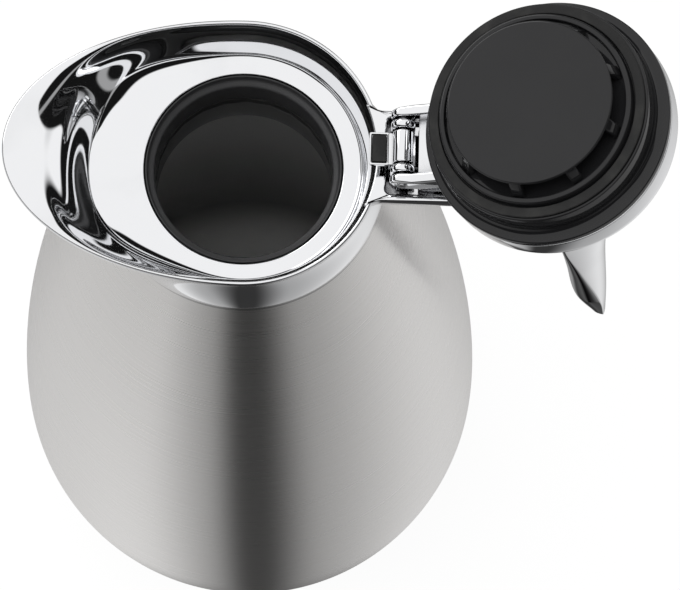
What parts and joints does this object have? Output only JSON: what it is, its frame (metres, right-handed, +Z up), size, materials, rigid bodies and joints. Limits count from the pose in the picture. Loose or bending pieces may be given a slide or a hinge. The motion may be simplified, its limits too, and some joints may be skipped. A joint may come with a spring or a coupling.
{
  "type": "insulated jug",
  "caption": "Vacuum jug: drop-shaped steel body over a glass flask, chrome pouring collar with spout, open handle and a hinged lid with a black plug, shown open.",
  "frame": {"origin": "middle of the base, on the surface that the jug stands on", "axes": "+Z up along the body's axis, -X towards the spout, +X towards the hinge and handle"},
  "size_m": [0.1631, 0.1266, 0.3012],
  "materials": {
    "brushed_body": "brushed round the body",
    "chrome": "polished",
    "black_plastic": "gloss",
    "base_plastic": "fine matte",
    "rubber": "matte",
    "flask_glass": "silvered glass",
    "foam": "foamed",
    "screw_steel": "plain"
  },
  "bodies": {
    "jug": {"outer_shell": "brushed_body", "base_cap": "base_plastic", "flask_cushion": "rubber", "flask_outer": "flask_glass", "flask_inner": "flask_glass", "neck_gasket": "rubber", "mouth_ring": "black_plastic", "mouth_seal": "rubber", "clamp_ring": "base_plastic", "collar": "chrome", "handle": "chrome", "handle_screw_front": "screw_steel", "handle_screw_rear": "screw_steel", "hinge_pin": "screw_steel"},
    "lever": {"thumb_lever": "chrome", "finger_bumper": "rubber"},
    "lid": {"lid_shell": "chrome", "lid_bracket": "chrome", "lid_plug": "black_plastic", "plug_disc": "black_plastic", "plug_seal": "rubber", "lid_foam": "foam", "lid_screw": "screw_steel"}
  },
  "joints": [
    {"name": "lid_hinge", "type": "hinge", "parent": "jug", "child": "lid", "pos_m": [0.0376, 0, 0.259], "axis": [0, -1, 0], "range_deg": [0, 160.5]},
    {"name": "lever_hinge", "type": "hinge", "parent": "jug", "child": "lever", "pos_m": [0.0376, 0, 0.259], "axis": [0, 1, 0], "range_deg": [0, 8]}
  ]
}
